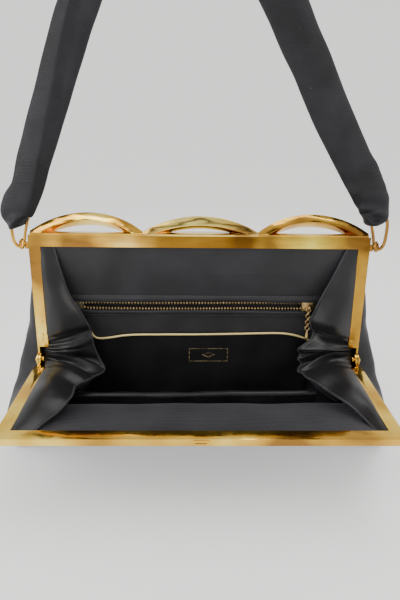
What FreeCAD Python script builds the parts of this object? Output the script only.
import FreeCAD, Part
import math
import os

os.makedirs("parts", exist_ok=True)
V = FreeCAD.Vector

# ---------------------------------------------------------------- driving dimensions, mm
# Everything is laid out about the hinge axis, with both frames upright and shut, and then
# moved so that the origin is the centre of the flat bottom. X is the bag's width, the front
# is -Y, and Z is up.
HINGE_Z = 64.0          # hinge axis above the flat bottom
HINGE_Y = -16.0         # hinge axis in front of the bottom's centre
OPEN_ANGLE = 95.0       # the front frame's swing, from shut to its stop

FRAME_HALF = 110.0      # half of the frame's outer width
LEG = 85.5              # hinge axis to the rail's outer edge
LEG_END = 9.0           # hinge axis to the end of the channel
FACE = 7.5              # width of the mating face
SHEET = 1.0             # frame's sheet brass
DEPTH = 4.2             # channel depth
GAP = 0.15              # each mating face to the shut plane
BACK_FLANGE = 4.5       # width of the flange that holds the cover
LUG_R = 5.0
LUG_T = 1.2
RIVET_R = 1.5
HOLE_R = 1.6

CLASP_HALF = 36.5       # half span of the centre arch
SIDE_HALF = 35.8        # half span of each side arch
STRIP_T = 1.3           # base strip under each arch
ARCH_DEPTH = 7.5
SIDE_LEAN = 33.0        # side arches lean back, degrees
SIDE_CROWN = 14.7       # along the lean, strip to crown
CLASP_LEAN = 25.0
CLASP_CROWN = 12.0
PIN_Y = 6.4             # clasp pin
PIN_Z = 83.0

EYE_Y = 2.25            # handle eyes
EYE_Z = 80.0
RING_WIRE = 1.25
RING_TOP = 97.0

STRAP_HALF = 11.5       # half width of the strap
STRAP_T = 6.5
COVER_T = 1.2
LINING_T = 0.8
POCKET_HALF = 79.0
ZIP_Z = 35.65           # middle of the zip
ZIP_START = -82.0
ZIP_END = 75.0
TOOTH_PITCH = 2.1


# ---------------------------------------------------------------- small builders
def box(x0, x1, y0, y1, z0, z1):
    return Part.makeBox(x1 - x0, y1 - y0, z1 - z0, V(x0, y0, z0))


def rod_x(x0, x1, y, z, r):
    return Part.makeCylinder(r, x1 - x0, V(x0, y, z), V(1, 0, 0))


def prism_x(outline, x0, x1):
    """A closed (y, z) outline pulled along X."""
    points = [V(x0, y, z) for y, z in outline]
    face = Part.Face(Part.makePolygon(points + points[:1]))
    return face.extrude(V(x1 - x0, 0, 0))


def prism_y(outline, y0, y1):
    """A closed (x, z) outline pulled along Y."""
    points = [V(x, y0, z) for x, z in outline]
    face = Part.Face(Part.makePolygon(points + points[:1]))
    return face.extrude(V(0, y1 - y0, 0))


def sheet_x(line, t, x0, x1):
    """Cloth or board that follows a (y, z) line, t thick towards +Y."""
    back = [(y + t, z) for y, z in reversed(line)]
    return prism_x(line + back, x0, x1)


def mirrored(shape):
    return shape.mirror(V(0, 0, 0), V(1, 0, 0))


def opened(shape):
    turned = shape.copy()
    turned.rotate(V(0, 0, 0), V(1, 0, 0), OPEN_ANGLE)
    return turned


def out(shape, name):
    placed = shape.copy()
    placed.translate(V(0, HINGE_Y, HINGE_Z))
    placed.exportStep("parts/" + name + ".step")


# ---------------------------------------------------------------- frames
def u_plate(band, y0, y1):
    """Rail and two legs, as a flat U of the given band width."""
    outer = box(-FRAME_HALF, FRAME_HALF, y0, y1, LEG_END, LEG)
    inner = box(band - FRAME_HALF, FRAME_HALF - band, y0, y1, LEG_END, LEG - band)
    return outer.cut(inner)


def frame_half(front):
    """Channel frame: mating face, rim and back flange, with a pivot lug on each leg."""
    sign = -1 if front else 1

    def span(a, b):
        return sorted((sign * a, sign * b))

    face = u_plate(FACE, *span(GAP, GAP + SHEET))
    rim = u_plate(SHEET, *span(GAP, GAP + DEPTH))
    flange = u_plate(BACK_FLANGE, *span(GAP + DEPTH - SHEET, GAP + DEPTH))
    body = face.fuse([rim, flange])
    y0, y1 = span(GAP, GAP + DEPTH)
    lug_out = FRAME_HALF - (LUG_T + 0.3 if front else 0.0)
    for side in (-1, 1):
        x0, x1 = sorted((side * (FRAME_HALF - FACE), side * FRAME_HALF))
        block = box(x0, x1, y0, y1, LEG_END, LEG_END + 2.5)
        x0, x1 = sorted((side * (lug_out - LUG_T), side * lug_out))
        tab = box(x0, x1, y0, y1, 0, LEG_END + 1)
        disc = rod_x(x0, x1, 0, 0, LUG_R)
        body = body.fuse([block, tab, disc])
        body = body.cut(rod_x(x0 - 0.1, x1 + 0.1, 0, 0, HOLE_R))
        body = body.cut(lip_rivet(side, sign, 1.15))
    return body.removeSplitter()


def lip_rivet(side, sign, r):
    """Small flush rivet that pins the lining at the end of a frame's lip."""
    start = V(side * 104.6, sign * GAP, LEG_END + 5)
    return Part.makeCylinder(r, SHEET + 1.2, start, V(0, sign, 0))


def hinge_rivet():
    """Right-hand pivot: shank through both lugs, domed head outside, flat head inside."""
    shank = rod_x(FRAME_HALF - 3.5, FRAME_HALF + 0.3, 0, 0, RIVET_R)
    inner = rod_x(FRAME_HALF - 4.0, FRAME_HALF - 2.9, 0, 0, 2.6)
    ball = Part.makeSphere(2.9, V(FRAME_HALF - 0.7, 0, 0))
    dome = ball.common(rod_x(FRAME_HALF + 0.1, FRAME_HALF + 3, 0, 0, 2.8))
    return shank.fuse([inner, dome])


def catch_eyelet():
    """Oval catch on the front rail's outer edge, with a slot through it."""
    middle = -(GAP + DEPTH / 2)
    plate = box(-3.4, 3.4, middle - 1.6, middle + 1.6, LEG, LEG + 0.4)
    for x in (-3.4, 3.4):
        plate = plate.fuse(Part.makeCylinder(1.6, 0.4, V(x, middle, LEG), V(0, 0, 1)))
    slot = box(-3.2, 3.2, middle - 0.6, middle + 0.6, LEG - 1, LEG + 1)
    return plate.cut(slot).removeSplitter()


# ---------------------------------------------------------------- arches and clasp
def arch(half, base_y, base_z, lean, crown, low, strip_y0, strip_y1):
    """Arched bar on a base strip; the whole bar leans back and is cut off at the strip's foot."""
    foot = half - 6.5
    top = Part.Arc(V(-half, 0, 1.5), V(0, 0, crown), V(half, 0, 1.5)).toShape()
    under = Part.Arc(V(foot, 0, 0), V(0, 0, low), V(-foot, 0, 0)).toShape()
    ends = [
        Part.makeLine(V(half, 0, 1.5), V(half, 0, 0)),
        Part.makeLine(V(half, 0, 0), V(foot, 0, 0)),
        Part.makeLine(V(-foot, 0, 0), V(-half, 0, 0)),
        Part.makeLine(V(-half, 0, 0), V(-half, 0, 1.5)),
    ]
    face = Part.Face(Part.Wire(Part.__sortEdges__([top, under] + ends)))
    bar = face.extrude(V(0, ARCH_DEPTH, 0))
    bar.rotate(V(0, 0, 0), V(1, 0, 0), -lean)
    bar.translate(V(0, base_y, base_z + STRIP_T))
    bar = bar.common(box(-40, 40, -10, 30, base_z, base_z + 30))
    strip = box(-half, half, strip_y0, strip_y1, base_z, base_z + STRIP_T)
    return strip.fuse(bar).removeSplitter()


def side_arch(side):
    bar = arch(SIDE_HALF, 0.6, LEG, SIDE_LEAN, SIDE_CROWN, SIDE_CROWN - 5.5, 0.3, 7.8)
    bar.translate(V(side * (CLASP_HALF + 0.4 + SIDE_HALF), 0, 0))
    return bar


def clasp_lever():
    """Centre arch on its own strip, with two knuckles behind the rail on the pin."""
    lever = arch(CLASP_HALF, -4.6, LEG + 0.7, CLASP_LEAN, CLASP_CROWN, CLASP_CROWN - 6.2, -5.2, 7.9)
    for side in (-1, 1):
        x0, x1 = sorted((side * 25.0, side * 28.7))
        web = box(x0, x1, 4.9, 7.9, PIN_Z, LEG + 1.0)
        lever = lever.fuse([web, rod_x(x0, x1, PIN_Y, PIN_Z, 1.5)])
    return lever.cut(rod_x(-40, 40, PIN_Y, PIN_Z, 1.05))


def clasp_brackets():
    ears = []
    for side in (-1, 1):
        x0, x1 = sorted((side * 29.0, side * 31.5))
        ear = box(x0, x1, GAP + DEPTH, 8.2, PIN_Z - 1.6, PIN_Z + 1.7)
        ears.append(ear.cut(rod_x(x0, x1, PIN_Y, PIN_Z, 1.05)))
    return Part.makeCompound(ears)


def clasp_spring():
    """Torsion spring round the pin: close coils and a leg that bears on the rail."""
    coils = []
    for turn in range(9):
        centre = V(-8.0 + turn * 0.9, PIN_Y, PIN_Z)
        coils.append(Part.makeTorus(1.7, 0.35, centre, V(1, 0, 0)))
    spine = rod_x(-8.0, 12.0, PIN_Y, PIN_Z - 1.7, 0.3)
    coils.append(Part.makeTorus(1.7, 0.35, V(12.0, PIN_Y, PIN_Z), V(1, 0, 0)))
    return spine.fuse(coils)


# ---------------------------------------------------------------- handle
def handle_eye():
    """Right-hand eye: a pad on the rim, a post below the ring and a plate with the hole."""
    pad = box(FRAME_HALF, FRAME_HALF + 1, EYE_Y - 1.8, EYE_Y + 1.8, EYE_Z - 8, EYE_Z - 1)
    post = rod_x(FRAME_HALF, FRAME_HALF + 8.4, EYE_Y, EYE_Z - 5, 1.2)
    plate = rod_x(FRAME_HALF + 6, FRAME_HALF + 8.4, EYE_Y, EYE_Z, 4.0)
    hole = rod_x(FRAME_HALF + 5, FRAME_HALF + 9, EYE_Y, EYE_Z, RING_WIRE + 0.35)
    return pad.fuse([post, plate]).cut(hole)


def handle_ring():
    """Right-hand ring: four wire runs with ball corners, through the eye and the strap."""
    corners = [
        V(FRAME_HALF + 3.9, EYE_Y, EYE_Z),
        V(FRAME_HALF + 11.0, EYE_Y, EYE_Z),
        V(FRAME_HALF + 11.5, EYE_Y, RING_TOP),
        V(FRAME_HALF - 1.4, EYE_Y, RING_TOP),
    ]
    pieces = []
    for i, a in enumerate(corners):
        b = corners[(i + 1) % 4]
        run = b.sub(a)
        pieces.append(Part.makeCylinder(RING_WIRE, run.Length, a, run))
        pieces.append(Part.makeSphere(RING_WIRE, a))
    return pieces[0].fuse(pieces[1:])


def strap_line():
    """Middle of the strap from the left ring, over the top, to the right ring."""
    left = [(-115.0, 102.2), (-114.0, 108.0), (-106.5, 122.0), (-93.5, 155.0), (-77.0, 197.0)]
    right = [(58.0, 196.0), (82.0, 152.0), (98.5, 124.0), (110.5, 108.0), (112.5, 102.2)]
    centre_x, centre_z, r = -11.5, 195.5, 62.5
    top = []
    for step in range(9):
        a = math.radians(160 - step * 15.5)
        top.append((centre_x + r * math.cos(a), centre_z + r * math.sin(a)))
    return left + top + right


def strap_band(half, t):
    """Flat band of the given half width round the strap's middle line."""
    line = strap_line()
    outer, inner = [], []
    for i, (x, z) in enumerate(line):
        xa, za = line[max(i - 1, 0)]
        xb, zb = line[min(i + 1, len(line) - 1)]
        size = math.hypot(xb - xa, zb - za)
        nx, nz = -(zb - za) / size, (xb - xa) / size
        outer.append((x + half * nx, z + half * nz))
        inner.append((x - half * nx, z - half * nz))
    return prism_y(outer + inner[::-1], EYE_Y - t / 2, EYE_Y + t / 2)


def handle_strap():
    """Tubular strap: a skin round the core, with an end loop round each ring's top wire."""
    skin = strap_band(STRAP_HALF, STRAP_T).cut(strap_band(STRAP_HALF - 1.4, STRAP_T - 2.4))
    loops = []
    for side in (-1, 1):
        x0, x1 = sorted((side * (FRAME_HALF + 0.8), side * (FRAME_HALF + 8.8)))
        loop = rod_x(x0, x1, EYE_Y, RING_TOP, 3.1)
        loops.append(loop.cut(rod_x(x0, x1, EYE_Y, RING_TOP, RING_WIRE + 0.1)))
    return skin, loops


# ---------------------------------------------------------------- soft body
COVER_LINE = [(2.0, 83.5), (2.0, 80.8), (16.8, 45.0), (28.8, 10.0), (37.8, -25.0), (44.8, -62.2)]
LINING_LINE = [(2.0, 77.5), (11.0, 40.0), (16.0, 10.0), (19.0, -25.0), (20.0, -59.9)]
FLAP_LINE = [(-3.2, 83.5), (-3.2, 80.8), (-12.0, 50.0), (-24.0, 16.0)]
SIDE_LINE = [(111.5, 56.0), (122.0, 20.0), (131.0, -15.0), (139.0, -42.0), (133.0, -62.2)]
BASE_FRONT = -14.0
BASE_BACK = 46.0


def line_at(line, z):
    """First coordinate of a line at height z."""
    for (ya, za), (yb, zb) in zip(line, line[1:]):
        if zb <= z <= za and za != zb:
            return ya + (yb - ya) * (za - z) / (za - zb)
    return line[-1][0]


def inside_sides(inset):
    """The body's front outline up to the covers' sides, for trimming."""
    right = [(x - inset, z) for x, z in SIDE_LINE]
    left = [(-x, z) for x, z in reversed(right)]
    return right + left


def back_cover():
    high = sheet_x(COVER_LINE, COVER_T, -105, 105).common(box(-105, 105, 0, 60, 56, 84))
    low = sheet_x(COVER_LINE, COVER_T, -140, 140)
    low = low.common(prism_y(inside_sides(1.9), -20, 60))
    return high.fuse(low).removeSplitter()


def side_cover():
    """Right side of the cover, bulging outside the frame's leg."""
    skin = SIDE_LINE + [(x - 1.5, z) for x, z in reversed(SIDE_LINE)]
    profile = [(4.8, 55.9), (11.0, 55.9), (16.2, 45), (28.2, 10), (37.2, -25), (44.2, -62.2)]
    profile += [(-12.0, -62.2), (-13.0, -36), (-10, -20), (4.8, -3)]
    return prism_y(skin, -20, 50).common(prism_x(profile, 100, 145))


def side_lining():
    line = [(x - 4.5, z) for x, z in SIDE_LINE]
    skin = line + [(x - LINING_T, z) for x, z in reversed(line)]
    profile = [(4.8, 0), (16.0, 0), (18.5, -25), (19.5, -59.5), (-11, -59.5), (-11.4, -30), (-8, -16)]
    return prism_y(skin, -20, 50).common(prism_x(profile, 100, 145))


def gusset(front):
    """Folded lining between a frame's leg and the middle of the opening, right side."""
    sign = -1 if front else 1
    corners = [V(101.5, sign * 3.2, 60), V(101.5, sign * 3.2, 10), V(66.0, sign * 11.5, 8)]
    face = Part.Face(Part.makePolygon(corners + corners[:1]))
    return face.extrude(V(0.3, sign * LINING_T, 0))


def zip_pocket_bag():
    outline = [(12.6, 43), (14.8, 39), (16.6, 30), (18.9, 10), (22.1, -21), (20.4, -21)]
    outline += [(17.3, 10), (13.9, 30), (14.3, 30), (17.7, 10), (20.8, -20.4), (21.7, -20.4)]
    outline += [(18.5, 10), (16.2, 30), (14.4, 39), (12.2, 43)]
    return prism_x(outline, -80, 78)


def teeth(z0, z1, shift):
    row = []
    count = int((ZIP_END - 6 - ZIP_START) / TOOTH_PITCH)
    for i in range(count):
        x = ZIP_START + 3 + shift + i * TOOTH_PITCH
        row.append(box(x, x + 1.1, 10.5, 12.6, z0, z1))
    return Part.makeCompound(row)


def zip_slider():
    """Two plates round the teeth, joined by a neck in the gap, with a bail in front."""
    front = box(ZIP_END - 4, ZIP_END + 4, 9.2, 10.2, ZIP_Z - 3.1, ZIP_Z + 3.1)
    back = box(ZIP_END - 4, ZIP_END + 4, 12.9, 13.8, ZIP_Z - 3.1, ZIP_Z + 3.1)
    neck = box(ZIP_END + 2, ZIP_END + 4, 10.2, 12.9, ZIP_Z - 0.5, ZIP_Z + 0.5)
    bail = box(ZIP_END - 0.6, ZIP_END + 0.6, 5.4, 9.2, ZIP_Z - 1.4, ZIP_Z + 1.4)
    body = front.fuse([back, neck, bail])
    return body.cut(rod_x(ZIP_END - 1, ZIP_END + 1, 6.6, ZIP_Z, 0.7))


def chain_link(n):
    turn = V(0, 1, 0) if n % 2 == 0 else V(1, 0, 0)
    return Part.makeTorus(1.5, 0.38, V(ZIP_END, 6.6, ZIP_Z - 1.5 - n * 2.2), turn)


def zip_pull_tab():
    top = ZIP_Z - 1.5 - 6 * 2.2
    stem = Part.makeCone(0.5, 1.4, 5.5, V(ZIP_END, 6.6, top - 1.4), V(0, 0, -1))
    return chain_link(6).fuse([stem, Part.makeSphere(1.4, V(ZIP_END, 6.6, top - 6.9))])


# ---------------------------------------------------------------- write every piece
def write_frame():
    out(frame_half(False), "back_frame")
    out(opened(frame_half(True)), "front_frame")
    out(hinge_rivet(), "hinge_rivet_right")
    out(mirrored(hinge_rivet()), "hinge_rivet_left")
    back = [lip_rivet(side, 1, 1.1) for side in (-1, 1)]
    front = [lip_rivet(side, -1, 1.1) for side in (-1, 1)]
    out(Part.makeCompound(back), "lip_rivets_back")
    out(opened(Part.makeCompound(front)), "lip_rivets_front")
    out(opened(catch_eyelet()), "catch_eyelet")
    out(side_arch(-1), "arch_left")
    out(side_arch(1), "arch_right")
    out(clasp_lever(), "clasp_lever")
    out(clasp_brackets(), "clasp_brackets")
    out(rod_x(-31.5, 31.5, PIN_Y, PIN_Z, 1.0), "clasp_pin")
    out(clasp_spring(), "clasp_spring")


def write_handle():
    out(handle_eye(), "handle_eye_right")
    out(mirrored(handle_eye()), "handle_eye_left")
    out(handle_ring(), "handle_ring_right")
    out(mirrored(handle_ring()), "handle_ring_left")
    skin, loops = handle_strap()
    out(skin, "handle_strap")
    out(strap_band(STRAP_HALF - 1.7, STRAP_T - 3.0), "handle_core")
    out(loops[0], "handle_loop_left")
    out(loops[1], "handle_loop_right")


def write_cover():
    out(back_cover(), "back_cover")
    out(side_cover(), "side_cover_right")
    out(mirrored(side_cover()), "side_cover_left")
    out(box(-131, 131, BASE_FRONT, BASE_BACK, -64, -62.6), "bottom_cover")
    low = sheet_x([(BASE_FRONT, -34), (BASE_FRONT, -62.2)], COVER_T, -140, 140)
    out(low.common(prism_y(inside_sides(1.9), -20, 60)), "front_lower_cover")
    out(opened(sheet_x(FLAP_LINE, COVER_T, -105, 105)), "front_cover")
    out(box(-126, 126, BASE_FRONT + 7, BASE_BACK - 4, -62.4, -60.9), "bottom_board")
    board = [(12.0, 50.0), (24.5, 10.0), (33.0, -25.0), (39.0, -58.0)]
    out(sheet_x(board, 1.0, -100, 100), "back_board")
    flap_board = [(-7.2, 59.0), (-9.8, 50.0), (-18.2, 24.0)]
    out(opened(sheet_x(flap_board, 1.0, -95, 95)), "front_board")


def write_lining():
    upper = sheet_x(LINING_LINE, LINING_T, -101.5, 101.5)
    out(upper.common(box(-110, 110, -5, 40, 40, 80)), "back_lining_upper")
    out(upper.common(box(-110, 110, -5, 40, -60, 31.5)), "back_lining_lower")
    out(side_lining(), "side_lining_right")
    out(mirrored(side_lining()), "side_lining_left")
    out(box(-127, 127, -11.4, 19.4, -60.7, -60.0), "bottom_lining")
    out(box(-125, 125, -12.4, -11.6, -59.6, -34), "front_lower_lining")
    flap = [(-2.8, 77.5), (-7.0, 50.0), (-17.0, 14.0)]
    out(opened(sheet_x(flap, LINING_T, -101.5, 101.5)), "front_lining")
    for front, word in ((False, "back"), (True, "front")):
        sheet = opened(gusset(True)) if front else gusset(False)
        out(sheet, "gusset_right_" + word)
        out(mirrored(sheet), "gusset_left_" + word)


def write_pockets():
    slip = [(line_at(LINING_LINE, z) - 1.9, z) for z in (13.0, -25.0, -50.0)]
    out(sheet_x(slip, 0.7, -POCKET_HALF, POCKET_HALF), "slip_pocket")
    out(rod_x(-POCKET_HALF, POCKET_HALF, slip[0][0] + 0.3, 14.2, 0.9), "slip_pocket_piping")
    label = [(line_at(slip, z) - 0.3, z) for z in (2.5, -8.0)]
    out(sheet_x(label, 0.2, -7, 21), "stamped_label")
    out(opened(rod_x(-80, 80, -12.1, 21.3, 1.6)), "front_pocket_roll")
    out(opened(sheet_x([(-13.0, 19.4), (-13.8, 7.0)], 0.8, -80, 80)), "front_pocket")
    out(zip_pocket_bag(), "zip_pocket_bag")
    out(box(-84, 79, 9.6, 10.1, 39.7, 43), "zip_welt_upper")
    out(box(-84, 79, 11.5, 12.0, 28.5, 31.5), "zip_welt_lower")
    out(box(-84, 79, 11.3, 11.8, 38.7, 39.7), "zip_tape_upper")
    out(box(-84, 79, 11.3, 11.8, 31.6, 32.4), "zip_tape_lower")
    out(teeth(36.4, 38.6, 0.0), "zip_teeth_upper")
    out(teeth(32.6, 34.9, TOOTH_PITCH / 2), "zip_teeth_lower")
    out(zip_slider(), "zip_slider")
    out(Part.makeCompound([chain_link(n) for n in range(6)]), "zip_pull_chain")
    out(zip_pull_tab(), "zip_pull_tab")


write_frame()
write_handle()
write_cover()
write_lining()
write_pockets()
